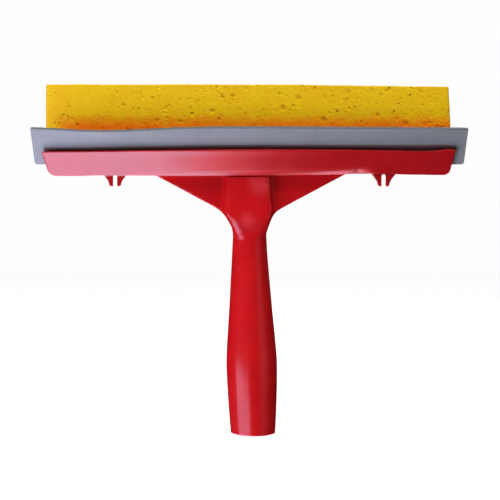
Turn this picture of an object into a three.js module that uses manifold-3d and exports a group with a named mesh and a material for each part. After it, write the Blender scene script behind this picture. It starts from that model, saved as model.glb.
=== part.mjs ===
// A hand-held window squeegee: a moulded handle and head, a clip-on front jaw that
// traps a rubber blade, and a sponge bar in a tray behind it.
// Millimetres, +Z up along the handle, +X along the blade, -Y towards the blade's side.
import * as THREE from "three";
import { mergeVertices } from "three/addons/utils/BufferGeometryUtils.js";
import Module from "manifold-3d";

const wasm = await Module();
wasm.setup();

const GAP = 0.3; // clearance between pieces that touch
const RED = "#b5141b";

// Handle: height and outer radius, from the rim to its narrowest place, where the neck begins
const RIM_ROUND = 1.8;
const GRIP_STATIONS = [
  [RIM_ROUND, 13.3],
  [19.8, 14.4],
  [40.8, 15.05],
  [55.8, 14.3],
  [79.8, 12.35],
  [102.8, 10.75],
  [117.8, 10.1],
];
const [GRIP_TOP, GRIP_TOP_R] = GRIP_STATIONS.at(-1);
const HANDLE_LEAN = THREE.MathUtils.degToRad(1.07); // the handle stands a little off square
const SOCKET_MOUTH_R = 10;
const SOCKET_END_R = 7.2;
const SOCKET_DEPTH = 110;

// Neck: a rounded box between the handle and the head
const NECK_TOP = 157.8;
const NECK_FULL_FROM = 135.8; // above this height the neck keeps its full width
const NECK_HALF_WIDTH = 13.6;
const NECK_HALF_DEPTH = 11.5;
const NECK_SQUARENESS = 5;

// Head: the rail's shelf and lip, and what carries them
const WALL = 3;
const SHELF_Z = 156.3;
const SHELF_TOP = SHELF_Z + WALL;
const RAIL_HALF_LENGTH = 116.5;
const LIP_HEIGHT = 7;
const LIP_THICKNESS = 2.4;
const WEB_REACH = 57;
const WEB_TOP_Z = 154;
const WEB_BEND_X = 21.6; // here the web's straight lower edge turns down into the handle
const WEB_BEND_Z = 135.1;
const WEB_FRONT_Y = -4.6;
const WEB_THICKNESS = 3.6;
const GUSSET_X = 9.5;
const GUSSET_LOW_Z = 131.8;
const GUSSET_THICKNESS = 2.6;

// Leaning clamp: places in it are measured up the slope and back from the jaw's face
const CLAMP_LEAN = THREE.MathUtils.degToRad(36);
const CLAMP_EDGE_Y = -13;
const CLAMP_EDGE_Z = 152.7;
const JAW_HEIGHT = 16.2;
const JAW_THICKNESS = 1.8;
const JAW_HALF_LENGTH = 118.4;
const JAW_END_TAPER = 0.8;
const JAW_CORNER = 3.5;
const JAW_RIB_HEIGHT = 3.5;
const JAW_RIDGE_UP = 10; // a ridge inside the jaw presses the blade here
const JAW_RIDGE_HEIGHT = 1.6;
const BLADE_BACK_FROM_FACE = 3.7;
const BLADE_THICKNESS = 2;
const BLADE_LOW = 4.9;
const BLADE_HEIGHT = 24.7;
const BLADE_HALF_LENGTH = 125.3;
const BLADE_CORNER = 2.6;
const RAIL_FACE = BLADE_BACK_FROM_FACE + BLADE_THICKNESS + GAP;
const RAIL_WALL = 2.5;
const RAIL_WALL_HEIGHT = 15;
const STUD_R = 1.5;
const STUD_UP = 1.9;
const STUD_X = [28, 64, 100];

// Forks under the jaw's lower edge
const FORK_X = 78;
const FORK_TIP_Z = 146.5;
const FORK_KNEE_Z = 149.2;
const FORK_SLOT_HALF = 1.15;
const FORK_KNEE_HALF = 4.1;
const FORK_ROOT_HALF = 7;
const FORK_TIP_ROUND = 1.1;
const FORK_ROOT_Z = CLAMP_EDGE_Z + 2; // the fork's root is buried in the jaw up to here

// Sponge and its tray
const SPONGE_LEFT = -120.9;
const SPONGE_RIGHT = 119.1;
const SPONGE_FRONT_Y = -3;
const SPONGE_THICKNESS = 25;
const SPONGE_BACK_Y = SPONGE_FRONT_Y + SPONGE_THICKNESS;
const SPONGE_TOP = 207.2;
const TRAY_WALL = 2.1;
const TRAY_BASE_Z = SHELF_TOP + GAP;
const TRAY_TOP = 170.8;
const TRAY_END_INSET = 2;
const PEG_X = 60;
const PEG_Y = 10;
const PEG_WIDTH = 8;
const PEG_DEPTH = 4;
const PEG_CHAMFER = 1;
const PEG_TIP_Z = 155.1;

/** Direction up the clamp's slope, and the direction straight back through it. */
const UP_SLOPE = new THREE.Vector3(0, -Math.sin(CLAMP_LEAN), Math.cos(CLAMP_LEAN));
const INTO_CLAMP = new THREE.Vector3(0, Math.cos(CLAMP_LEAN), Math.sin(CLAMP_LEAN));

/** A place in the clamp: x along it, up the slope from the jaw's lower edge, back from its face. */
function clampPoint(x, up, back) {
  return new THREE.Vector3(x, CLAMP_EDGE_Y, CLAMP_EDGE_Z)
    .addScaledVector(UP_SLOPE, up)
    .addScaledVector(INTO_CLAMP, back);
}

/** The head's rear face is as far behind the handle's axis as the blade's lip is before it. */
const REAR_Y = -clampPoint(0, BLADE_LOW + BLADE_HEIGHT, BLADE_BACK_FROM_FACE).y;

/** A closed three.js geometry as a manifold solid. */
function solid(geometry) {
  const bare = geometry.clone();
  bare.deleteAttribute("normal");
  bare.deleteAttribute("uv");
  const merged = mergeVertices(bare, 1e-4);
  return new wasm.Manifold(
    new wasm.Mesh({
      numProp: 3,
      vertProperties: new Float32Array(merged.attributes.position.array),
      triVerts: new Uint32Array(merged.index.array),
    })
  );
}

/** A manifold solid as a named, coloured three.js mesh. */
function piece(name, body, color, roughness) {
  const { vertProperties, triVerts } = body.getMesh();
  const geometry = new THREE.BufferGeometry();
  geometry.setAttribute("position", new THREE.BufferAttribute(vertProperties, 3));
  geometry.setIndex(new THREE.BufferAttribute(triVerts, 1));
  const flat = geometry.toNonIndexed();
  flat.computeVertexNormals();
  const material = new THREE.MeshStandardMaterial({ color, roughness, metalness: 0 });
  const mesh = new THREE.Mesh(flat, material);
  mesh.name = name;
  return mesh;
}

function outline(points) {
  return new THREE.Shape(points.map(([a, b]) => new THREE.Vector2(a, b)));
}

function extrude(shape, depth, curveSegments = 8) {
  return new THREE.ExtrudeGeometry(shape, { depth, bevelEnabled: false, curveSegments });
}

/** An outline in Y and Z, swept along X. */
function sweepX(shape, fromX, toX) {
  const axes = new THREE.Matrix4().makeBasis(
    new THREE.Vector3(0, 1, 0),
    new THREE.Vector3(0, 0, 1),
    new THREE.Vector3(1, 0, 0)
  );
  return solid(extrude(shape, toX - fromX).applyMatrix4(axes).translate(fromX, 0, 0));
}

/** An outline in X and Z, with its front face at frontY. */
function sweepY(shape, frontY, depth) {
  const geometry = extrude(shape, depth).rotateX(Math.PI / 2);
  return solid(geometry.translate(0, frontY + depth, 0));
}

/** An outline in X and up the clamp's slope, lying between two depths of the clamp. */
function sweepClamp(shape, frontBack, rearBack) {
  const frame = new THREE.Matrix4().makeBasis(
    new THREE.Vector3(1, 0, 0),
    UP_SLOPE,
    INTO_CLAMP.clone().negate()
  );
  frame.setPosition(clampPoint(0, 0, rearBack));
  return solid(extrude(shape, rearBack - frontBack).applyMatrix4(frame));
}

function box(low, high) {
  const size = high.map((v, i) => v - low[i]);
  const middle = high.map((v, i) => (v + low[i]) / 2);
  return solid(new THREE.BoxGeometry(...size).translate(...middle));
}

/** A stack of closed rings, capped at both ends. */
function loft(rings) {
  const sides = rings[0].length;
  const positions = rings.flat().flatMap((p) => [p.x, p.y, p.z]);
  const centre = (ring) =>
    ring.reduce((sum, p) => sum.add(p), new THREE.Vector3()).divideScalar(sides);
  const bottom = rings.length * sides;
  const top = bottom + 1;
  const index = [];
  positions.push(...centre(rings[0]), ...centre(rings.at(-1)));
  for (let i = 0; i < sides; i++) {
    const next = (i + 1) % sides;
    for (let r = 0; r < rings.length - 1; r++) {
      const low = r * sides;
      const high = low + sides;
      index.push(low + i, low + next, high + next, low + i, high + next, high + i);
    }
    const last = (rings.length - 1) * sides;
    index.push(bottom, next, i, top, last + i, last + next);
  }
  const geometry = new THREE.BufferGeometry();
  geometry.setAttribute("position", new THREE.Float32BufferAttribute(positions, 3));
  geometry.setIndex(index);
  return solid(geometry);
}

/** How far the handle's axis is off centre at a height. */
function handleOffset(z) {
  return Math.tan(HANDLE_LEAN) * Math.max(0, GRIP_TOP - z);
}

/** One ring of the handle or neck: a circle when squareness is 2, and boxier above that. */
function ring(z, halfWidth, halfDepth, squareness, sides = 48) {
  const points = [];
  for (let i = 0; i < sides; i++) {
    const angle = (2 * Math.PI * i) / sides;
    const c = Math.cos(angle);
    const s = Math.sin(angle);
    const x = Math.sign(c) * Math.abs(c) ** (2 / squareness) * halfWidth;
    const y = Math.sign(s) * Math.abs(s) ** (2 / squareness) * halfDepth;
    points.push(new THREE.Vector3(x + handleOffset(z), y, z));
  }
  return points;
}

/** The handle and neck as one upright body, before it is hollowed. */
function gripAndNeck() {
  const profile = new THREE.SplineCurve(
    GRIP_STATIONS.map(([z, r]) => new THREE.Vector2(z, r))
  );
  const rings = [];
  const roundSteps = 3;
  const firstR = GRIP_STATIONS[0][1];
  for (let i = 0; i < roundSteps; i++) {
    const angle = (Math.PI / 2) * (i / roundSteps);
    const z = RIM_ROUND * (1 - Math.cos(angle));
    const r = firstR - RIM_ROUND * (1 - Math.sin(angle));
    rings.push(ring(z, r, r, 2));
  }
  for (const p of profile.getPoints(24)) {
    rings.push(ring(p.x, p.y, p.y, 2));
  }
  const neckSteps = 10;
  for (let i = 1; i <= neckSteps; i++) {
    const part = i / neckSteps;
    const blend = THREE.MathUtils.smoothstep(part, 0, 1);
    const z = THREE.MathUtils.lerp(GRIP_TOP, NECK_FULL_FROM, part);
    const halfWidth = THREE.MathUtils.lerp(GRIP_TOP_R, NECK_HALF_WIDTH, blend);
    const halfDepth = THREE.MathUtils.lerp(GRIP_TOP_R, NECK_HALF_DEPTH, blend);
    const squareness = THREE.MathUtils.lerp(2, NECK_SQUARENESS, blend);
    rings.push(ring(z, halfWidth, halfDepth, squareness));
  }
  rings.push(ring(NECK_TOP, NECK_HALF_WIDTH, NECK_HALF_DEPTH, NECK_SQUARENESS));
  return loft(rings);
}

/** The tapered hole for an extension pole, open at the rim and domed at its end. */
function poleSocket() {
  const below = -4; // the cut starts clear of the rim
  const domeSteps = 4;
  const profile = [
    new THREE.Vector2(0, below),
    new THREE.Vector2(SOCKET_MOUTH_R, below),
    new THREE.Vector2(SOCKET_MOUTH_R, 0),
  ];
  for (let i = 0; i <= domeSteps; i++) {
    const angle = (Math.PI / 2) * (i / domeSteps);
    const z = SOCKET_DEPTH - SOCKET_END_R * (1 - Math.sin(angle));
    profile.push(new THREE.Vector2(i < domeSteps ? SOCKET_END_R * Math.cos(angle) : 0, z));
  }
  const geometry = new THREE.LatheGeometry(profile, 40).rotateX(Math.PI / 2);
  geometry.translate(0, 0, -GRIP_TOP).rotateY(-HANDLE_LEAN).translate(0, 0, GRIP_TOP);
  return solid(geometry);
}

/** The two side webs, curving into the handle below. */
function webs() {
  const slope = (WEB_TOP_Z - WEB_BEND_Z) / (WEB_REACH - WEB_BEND_X);
  const turnZ = WEB_BEND_Z - (WEB_BEND_X - GRIP_TOP_R) * slope;
  const lowZ = GRIP_TOP + 1;
  const insideShelf = SHELF_Z + 1;
  const shape = new THREE.Shape();
  shape.moveTo(-WEB_REACH - 3, insideShelf);
  shape.lineTo(-WEB_REACH, WEB_TOP_Z);
  shape.lineTo(-WEB_BEND_X, WEB_BEND_Z);
  shape.quadraticCurveTo(-GRIP_TOP_R, turnZ, -GRIP_TOP_R, lowZ);
  shape.lineTo(GRIP_TOP_R, lowZ);
  shape.quadraticCurveTo(GRIP_TOP_R, turnZ, WEB_BEND_X, WEB_BEND_Z);
  shape.lineTo(WEB_REACH, WEB_TOP_Z);
  shape.lineTo(WEB_REACH + 3, insideShelf);
  return sweepY(shape, WEB_FRONT_Y, WEB_THICKNESS);
}

/** The shelf with its leaning front wall and its rear lip. */
function rail() {
  const wallBack = RAIL_FACE + RAIL_WALL;
  const upAt = (z, back) =>
    (z - CLAMP_EDGE_Z - back * Math.sin(CLAMP_LEAN)) / Math.cos(CLAMP_LEAN);
  const corner = (up, back) => {
    const p = clampPoint(0, up, back);
    return [p.y, p.z];
  };
  return sweepX(
    outline([
      corner(upAt(SHELF_Z, RAIL_FACE), RAIL_FACE),
      [REAR_Y, SHELF_Z],
      [REAR_Y, SHELF_TOP + LIP_HEIGHT],
      [REAR_Y - LIP_THICKNESS, SHELF_TOP + LIP_HEIGHT],
      [REAR_Y - LIP_THICKNESS, SHELF_TOP],
      corner(upAt(SHELF_TOP, wallBack), wallBack),
      corner(RAIL_WALL_HEIGHT, wallBack),
      corner(RAIL_WALL_HEIGHT, RAIL_FACE),
    ]),
    -RAIL_HALF_LENGTH,
    RAIL_HALF_LENGTH
  );
}

/** Two ribs that brace the shelf's overhang against the back of the neck. */
function gussets() {
  const insideNeck = NECK_HALF_DEPTH - 6;
  const shape = outline([
    [insideNeck, GUSSET_LOW_Z],
    [NECK_HALF_DEPTH - 2, GUSSET_LOW_Z],
    [REAR_Y - LIP_THICKNESS, SHELF_Z + 1],
    [insideNeck, SHELF_Z + 1],
  ]);
  const half = GUSSET_THICKNESS / 2;
  return [-GUSSET_X, GUSSET_X]
    .map((x) => sweepX(shape, x - half, x + half))
    .reduce((a, b) => a.add(b));
}

/** A round bar through the clamp, square to its face. */
function clampBar(x, up, frontBack, rearBack, radius) {
  const circle = new THREE.Shape().absarc(x, up, radius, 0, 2 * Math.PI);
  return sweepClamp(circle, frontBack, rearBack);
}

/** The space that the jaw and blade take up in front of the rail, with its clearance. */
function clampRoom() {
  const reach = 2 * JAW_HEIGHT;
  const halfLength = BLADE_HALF_LENGTH + reach;
  const shape = outline([
    [-halfLength, -GAP],
    [halfLength, -GAP],
    [halfLength, reach],
    [-halfLength, reach],
  ]);
  return sweepClamp(shape, -reach, RAIL_FACE);
}

function handleFrame() {
  let body = gripAndNeck().subtract(clampRoom()).add(webs()).add(rail()).add(gussets());
  body = body.subtract(poleSocket());
  for (const x of STUD_X.flatMap((v) => [-v, v])) {
    const holeEnd = RAIL_FACE + 2 * RAIL_WALL;
    body = body.subtract(clampBar(x, STUD_UP, RAIL_FACE - 1, holeEnd, STUD_R + GAP));
  }
  for (const x of [-PEG_X, PEG_X]) {
    const w = PEG_WIDTH / 2 + GAP;
    const d = PEG_DEPTH / 2 + GAP;
    body = body.subtract(
      box([x - w, PEG_Y - d, SHELF_Z - 1], [x + w, PEG_Y + d, SHELF_TOP + 1])
    );
  }
  return piece("handle_frame", body, RED, 0.28);
}

/** A short two-legged fork that hangs from the jaw's lower edge. */
function fork(centreX) {
  const half = new THREE.Shape();
  const roundX = FORK_SLOT_HALF + FORK_TIP_ROUND;
  const roundZ = FORK_TIP_Z + FORK_TIP_ROUND;
  half.moveTo(0, FORK_ROOT_Z);
  half.lineTo(0, CLAMP_EDGE_Z + FORK_SLOT_HALF);
  half.absarc(0, CLAMP_EDGE_Z, FORK_SLOT_HALF, Math.PI / 2, 0, true);
  half.lineTo(FORK_SLOT_HALF, roundZ);
  half.absarc(roundX, roundZ, FORK_TIP_ROUND, Math.PI, 2 * Math.PI, false);
  half.lineTo(FORK_KNEE_HALF, FORK_KNEE_Z);
  half.lineTo(FORK_ROOT_HALF, CLAMP_EDGE_Z);
  half.lineTo(FORK_ROOT_HALF, FORK_ROOT_Z);
  const right = sweepY(half, CLAMP_EDGE_Y, JAW_THICKNESS);
  return right.add(right.mirror([1, 0, 0])).translate([centreX, 0, 0]);
}

/** A bar along the inside of the jaw, as wide as its straight lower edge. */
function jawBar(low, height, rearBack) {
  const end = JAW_HALF_LENGTH - JAW_END_TAPER - JAW_CORNER;
  const shape = outline([
    [-end, low],
    [end, low],
    [end, low + height],
    [-end, low + height],
  ]);
  return sweepClamp(shape, JAW_THICKNESS / 2, rearBack);
}

function frontJaw() {
  const low = JAW_HALF_LENGTH - JAW_END_TAPER;
  const face = new THREE.Shape();
  face.moveTo(-JAW_HALF_LENGTH, JAW_HEIGHT);
  face.lineTo(-low, JAW_CORNER);
  face.quadraticCurveTo(-low, 0, -low + JAW_CORNER, 0);
  face.lineTo(low - JAW_CORNER, 0);
  face.quadraticCurveTo(low, 0, low, JAW_CORNER);
  face.lineTo(JAW_HALF_LENGTH, JAW_HEIGHT);
  let body = sweepClamp(face, 0, JAW_THICKNESS);
  body = body.add(jawBar(0, JAW_RIB_HEIGHT, RAIL_FACE - GAP));
  body = body.add(jawBar(JAW_RIDGE_UP, JAW_RIDGE_HEIGHT, BLADE_BACK_FROM_FACE - GAP));
  for (const x of STUD_X.flatMap((v) => [-v, v])) {
    body = body.add(clampBar(x, STUD_UP, JAW_THICKNESS, RAIL_FACE + RAIL_WALL, STUD_R));
  }
  return piece("front_jaw", body.add(fork(-FORK_X)).add(fork(FORK_X)), RED, 0.2);
}

function rubberBlade() {
  const shape = new THREE.Shape();
  const top = BLADE_LOW + BLADE_HEIGHT;
  shape.moveTo(-BLADE_HALF_LENGTH, top);
  shape.lineTo(-BLADE_HALF_LENGTH, BLADE_LOW + BLADE_CORNER);
  shape.absarc(
    -BLADE_HALF_LENGTH + BLADE_CORNER,
    BLADE_LOW + BLADE_CORNER,
    BLADE_CORNER,
    Math.PI,
    1.5 * Math.PI,
    false
  );
  shape.absarc(
    BLADE_HALF_LENGTH - BLADE_CORNER,
    BLADE_LOW + BLADE_CORNER,
    BLADE_CORNER,
    1.5 * Math.PI,
    2 * Math.PI,
    false
  );
  shape.lineTo(BLADE_HALF_LENGTH, top);
  const rear = BLADE_BACK_FROM_FACE + BLADE_THICKNESS;
  return piece(
    "rubber_blade",
    sweepClamp(shape, BLADE_BACK_FROM_FACE, rear),
    "#83838f",
    0.6
  );
}

/** The channel that the sponge is bonded into, with two pegs for the shelf's slots. */
function spongeTray() {
  const inFront = SPONGE_FRONT_Y - GAP;
  const inBack = SPONGE_BACK_Y + GAP;
  const floorTop = TRAY_BASE_Z + TRAY_WALL;
  let body = sweepX(
    outline([
      [inFront - TRAY_WALL, TRAY_BASE_Z],
      [inBack + TRAY_WALL, TRAY_BASE_Z],
      [inBack + TRAY_WALL, TRAY_TOP],
      [inBack, TRAY_TOP],
      [inBack, floorTop],
      [inFront, floorTop],
      [inFront, TRAY_TOP],
      [inFront - TRAY_WALL, TRAY_TOP],
    ]),
    SPONGE_LEFT + TRAY_END_INSET,
    SPONGE_RIGHT - TRAY_END_INSET
  );
  const half = PEG_WIDTH / 2;
  const peg = outline([
    [-half + PEG_CHAMFER, PEG_TIP_Z],
    [half - PEG_CHAMFER, PEG_TIP_Z],
    [half, PEG_TIP_Z + PEG_CHAMFER],
    [half, TRAY_BASE_Z + 1],
    [-half, TRAY_BASE_Z + 1],
    [-half, PEG_TIP_Z + PEG_CHAMFER],
  ]);
  for (const x of [-PEG_X, PEG_X]) {
    body = body.add(sweepY(peg, PEG_Y - PEG_DEPTH / 2, PEG_DEPTH).translate([x, 0, 0]));
  }
  return piece("sponge_tray", body, RED, 0.35);
}

function sponge() {
  const low = TRAY_BASE_Z + TRAY_WALL + GAP;
  return piece(
    "sponge",
    box([SPONGE_LEFT, SPONGE_FRONT_Y, low], [SPONGE_RIGHT, SPONGE_BACK_Y, SPONGE_TOP]),
    "#dcb01c",
    0.95
  );
}

const squeegee = new THREE.Group();
squeegee.add(handleFrame(), frontJaw(), rubberBlade(), spongeTray(), sponge());

export default squeegee;
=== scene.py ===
"""Looks of the window squeegee: red moulded frame, jaw and tray, grey rubber blade, yellow sponge.

Each piece is a rounded solid described by a signed distance in millimetres, which is negative
inside. Its surface is sampled to a mesh, so that edges and inner corners are rounded as a
moulding's are. Sizes repeat the CAD source's, and places come from the CAD nodes' boxes.
"""
import itertools
import math

import bpy
import numpy as np
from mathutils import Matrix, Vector


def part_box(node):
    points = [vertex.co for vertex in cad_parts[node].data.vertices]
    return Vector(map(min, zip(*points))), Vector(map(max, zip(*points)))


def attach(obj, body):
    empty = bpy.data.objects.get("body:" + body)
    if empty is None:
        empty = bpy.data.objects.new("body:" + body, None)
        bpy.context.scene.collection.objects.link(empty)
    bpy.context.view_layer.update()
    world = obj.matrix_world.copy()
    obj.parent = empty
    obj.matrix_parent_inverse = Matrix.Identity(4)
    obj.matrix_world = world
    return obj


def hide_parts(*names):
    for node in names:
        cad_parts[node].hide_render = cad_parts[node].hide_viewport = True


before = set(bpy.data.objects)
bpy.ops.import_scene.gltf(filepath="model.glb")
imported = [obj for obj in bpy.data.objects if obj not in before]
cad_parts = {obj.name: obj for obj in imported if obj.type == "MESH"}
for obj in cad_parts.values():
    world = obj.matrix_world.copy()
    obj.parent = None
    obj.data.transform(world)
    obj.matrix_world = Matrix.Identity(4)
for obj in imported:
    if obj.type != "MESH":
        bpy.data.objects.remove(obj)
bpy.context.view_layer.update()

MM = 0.001

# ---------------------------------------------------------------- sizes, in millimetres


def node_box(name):
    """Lowest and highest corner of a CAD node, in millimetres."""
    low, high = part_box(name)
    return np.array(low) / MM, np.array(high) / MM


FRAME_LOW, FRAME_HIGH = node_box("handle_frame")
JAW_LOW, JAW_HIGH = node_box("front_jaw")
BLADE_LOW_CORNER, BLADE_HIGH_CORNER = node_box("rubber_blade")
TRAY_LOW, TRAY_HIGH = node_box("sponge_tray")
SPONGE_LOW, SPONGE_HIGH = node_box("sponge")

# Grip: (height, radius) up to the neck, and how far its axis leans
GRIP_STATIONS = [
    (1.8, 13.3),
    (19.8, 14.4),
    (40.8, 15.05),
    (55.8, 14.3),
    (79.8, 12.35),
    (102.8, 10.75),
]
GRIP_TOP = 117.8
RIM_ROUND = 1.2
LEAN = math.tan(math.radians(1.07))

# Hole for an extension pole, up the middle of the grip
SOCKET_MOUTH_R = 10.0
SOCKET_END_R = 7.2
SOCKET_DEPTH = 110.0
SOCKET_DOME_ROUND = SOCKET_END_R - 0.5
SOCKET_RIM_ROUND = 0.6

# Neck: (height, half width) on each side. Its section turns from round to nearly square, and a
# squareness of 2 is round.
NECK_LEFT = [
    (117.8, 9.8),
    (120.0, 9.9),
    (122.0, 10.3),
    (124.0, 11.1),
    (127.0, 12.8),
    (129.5, 14.2),
    (131.5, 15.1),
    (134.0, 15.3),
    (138.0, 15.0),
    (152.0, 14.2),
    (160.0, 14.0),
]
NECK_RIGHT = [
    (117.8, 10.1),
    (119.3, 10.15),
    (122.4, 11.2),
    (125.0, 12.1),
    (127.9, 13.1),
    (131.0, 13.9),
    (133.5, 14.0),
    (138.0, 13.4),
    (152.0, 12.3),
    (160.0, 12.1),
]
NECK_HALF_DEPTH = 11.5
NECK_FULL_FROM = 135.8
LEFT_SQUARENESS = 6.5
RIGHT_SQUARENESS = 8.0
SQUARE_FROM = 114.5
SQUARE_BY = 126.0
NECK_TOP = 158.3
NECK_FILLET = 2.2

# Shelf with its rear lip
SHELF_Z = 156.3
SHELF_TOP = 159.3
REAR_Y = FRAME_HIGH[1]
LIP_THICKNESS = 2.4
RAIL_HALF_LENGTH = FRAME_HIGH[0]
SHELF_ROUND = 0.7
SHELF_FILLET = 0.8
SHELF_TO_NECK_FILLET = 1.5
RAIL_END_ROUND = 0.6

# Webs: (across, height) along their lower edges, from left to right
WEB_FRONT_Y = -4.6
WEB_THICKNESS = 3.6
WEB_ROUND = 0.2
WEB_OVERRUN = 6.0
LEFT_WEB_EDGE = [
    (-57.0, 154.0),
    (-21.8, 135.1),
    (-17.8, 132.6),
    (-13.4, 129.6),
    (-10.8, 126.0),
    (-8.8, 122.0),
    (-7.6, 116.0),
]
RIGHT_WEB_EDGE = [
    (7.6, 116.0),
    (8.8, 120.0),
    (10.2, 124.0),
    (12.4, 128.4),
    (16.2, 131.8),
    (21.4, 135.0),
    (57.0, 154.0),
]

# Gussets behind the neck
GUSSET_X = 9.5
GUSSET_THICKNESS = 2.6
GUSSET_LOW_Z = 131.8
GUSSET_FRONT_Y = 5.0
GUSSET_ROUND = 0.6
GUSSET_FILLET = 1.0

# Leaning clamp: places in it go up the slope, and back from the jaw's face
CLAMP_LEAN = math.radians(36)
CLAMP_SIN = math.sin(CLAMP_LEAN)
CLAMP_COS = math.cos(CLAMP_LEAN)
CLAMP_EDGE_Y = -13.0
CLAMP_EDGE_Z = 152.7

# Room left between parts that fit into each other
GAP = 0.3

# The shelf's leaning wall behind the blade, and the jaw's studs, which go into it
RAIL_FACE = 6.0
RAIL_WALL = 2.5
RAIL_WALL_HEIGHT = 15.0
RAIL_WALL_ROUND = 0.6
RAIL_WALL_FOOT = -1.0
STUD_R = 1.5
STUD_UP = 1.9
STUD_TIP_ROUND = 0.4
STUD_X = (28.0, 64.0, 100.0)

# Jaw: its ends slant in towards its foot
JAW_HEIGHT = 16.2
JAW_THICKNESS = 1.8
JAW_HALF_LENGTH = JAW_HIGH[0]
JAW_EDGE_ROUND = 0.5
JAW_BACK_ROUND = 0.3
JAW_LEFT_TOP = JAW_LOW[0] - 1.6
JAW_LEFT_SLANT = 0.19
JAW_LEFT_CORNER = 4.2
JAW_RIGHT_TOP = JAW_HIGH[0] + 0.4
JAW_RIGHT_SLANT = 0.13
JAW_RIGHT_CORNER = 3.5
JAW_TOP_ROUND = 0.4
JAW_ROOM_BELOW = 1.8
JAW_ROOM_ROUND = 0.3

# The rib along the jaw's foot, which stands on the shelf's wall
JAW_RIB_HEIGHT = 4.4
JAW_RIB_ROUND = 0.4

# The ridge that presses on the blade
JAW_RIDGE_UP = 10.0
JAW_RIDGE_HEIGHT = 1.6
JAW_RIDGE_FROM = 0.9
JAW_RIDGE_SHORTER = 5.0
JAW_RIDGE_ROUND = 0.4
JAW_RIDGE_END_ROUND = 0.5
JAW_BAR_FILLET = 0.5

# The jaw's upper lip: thinned from behind, and leaning forward a little
JAW_LIP_THINNING = 0.9
JAW_LIP_THIN_OVER = 7.0
JAW_LIP_LEAN = 0.2
JAW_LIP_LEAN_OVER = 5.0

# Forks under the jaw: (half width, height) up one side of a fork's flare
FORK_X = 78.5
FORK_TIP_Z = 146.2
FORK_SLOT_HALF = 1.2
FORK_SIDE = [
    (2.9, FORK_TIP_Z - 1),
    (3.3, FORK_TIP_Z),
    (3.6, 148.0),
    (4.2, 149.6),
    (5.2, 151.0),
    (6.2, 152.3),
    (7.0, 153.2),
    (7.8, 154.7),
]
FORK_SIDE_SLOPE = 0.75
FORK_TIP_ROUND = 0.9
FORK_SLOT_ROUND = 0.35
FORK_SLOT_TOP_Z = CLAMP_EDGE_Z - 0.6
FORK_TOP_Z = CLAMP_EDGE_Z + 2
FORK_FRONT_Y = CLAMP_EDGE_Y + 0.55
FORK_FACE_ROUND = 0.45
FORK_FILLET = 0.3

# Blade, in the clamp's directions
BLADE_BACK = 3.7
BLADE_THICKNESS = 2.0
BLADE_LOW_UP = 4.9
BLADE_HEIGHT = 24.7
BLADE_TOP_UP = BLADE_LOW_UP + BLADE_HEIGHT
BLADE_HALF_LENGTH = BLADE_HIGH_CORNER[0]
BLADE_CORNER = 1.7
BLADE_TOP_CORNER = 0.4
BLADE_EDGE_ROUND = 0.25

# How far the blade's free edge comes forward and down, for each millimetre of its sag
SAG_FORWARD = 0.8
SAG_DOWN = 0.5
SAG_ROOM = 1.5

# Tray, and its pegs
TRAY_WALL = 2.1
TRAY_BASE_Z = SHELF_TOP + GAP
TRAY_ROUND = 0.8
TRAY_ROOM_ROUND = 0.5
TRAY_ROOM_OVERRUN = 20.0
TRAY_RIM_ROUND = 0.6
PEG_X = 60.0
PEG_Y = 10.0
PEG_HALF_WIDTH = 4.0
PEG_HALF_DEPTH = 2.0
PEG_ROUND = 0.4
PEG_TIP_ROUND = 0.8
PEG_SLOT_ROUND = 0.5
PEG_SLOT_EDGE_ROUND = 0.3

# Sponge: its top falls a little to the right, and its right end leans in at the top
SPONGE_FALL = 1.5
SPONGE_FALL_FROM = -10.0
SPONGE_FALL_BY = 150.0
SPONGE_LEAN = 0.9
SPONGE_LEAN_FROM_Z = SPONGE_LOW[2] + 24.0
SPONGE_LEFT = SPONGE_LOW[0] + 0.3
SPONGE_END_ROUND = 0.5
SPONGE_SIDE_ROUND = 1.2
SPONGE_TOP_ROUND = 0.7

# Grid steps along x, y and z for sampling each surface
FRAME_STEP = (1.0, 0.7, 0.75)
JAW_STEP = (0.9, 0.5, 0.5)
BLADE_STEP = (0.9, 0.5, 0.5)
TRAY_STEP = (1.2, 0.6, 0.6)
SPONGE_STEP = (0.8, 0.72, 0.72)


# ---------------------------------------------------------------- distances


def round_max(a, b, r):
    """The part common to two solids, with the edge between them rounded to radius r."""
    return np.minimum(np.maximum(a, b), -r) + np.hypot(np.maximum(a + r, 0), np.maximum(b + r, 0))


def round_min(a, b, r):
    """Two solids joined, with a fillet of radius r in the corner between them."""
    return -round_max(-a, -b, r)


def slab(u, low, high):
    """Distance to the space between two parallel planes."""
    return np.abs(u - (low + high) / 2) - (high - low) / 2


def rounded_rectangle(u, v, low, high, r):
    """Distance to a rectangle in u and v whose corners have radius r."""
    return round_max(slab(u, low[0], high[0]), slab(v, low[1], high[1]), r)


def edge_distance(u, v, points):
    """Distance to a chain of straight lines in u and v."""
    best = np.full(np.broadcast(u, v).shape, 1e9)
    for (u0, v0), (u1, v1) in zip(points, points[1:]):
        du = u1 - u0
        dv = v1 - v0
        share = np.clip(((u - u0) * du + (v - v0) * dv) / (du * du + dv * dv), 0, 1)
        best = np.minimum(best, np.hypot(u - u0 - share * du, v - v0 - share * dv))
    return best


def smooth_chain(points, per_span=12):
    """A Catmull-Rom curve through the points, as more points."""
    p = np.array([points[0], *points, points[-1]], float)
    out = []
    for i in range(len(points) - 1):
        p0, p1, p2, p3 = p[i : i + 4]
        for t in np.arange(per_span) / per_span:
            bend = (2 * p0 - 5 * p1 + 4 * p2 - p3) * t * t
            twist = (3 * p1 - p0 - 3 * p2 + p3) * t**3
            out.append(0.5 * (2 * p1 + (p2 - p0) * t + bend + twist))
    out.append(p[-1])
    return np.array(out)


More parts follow.
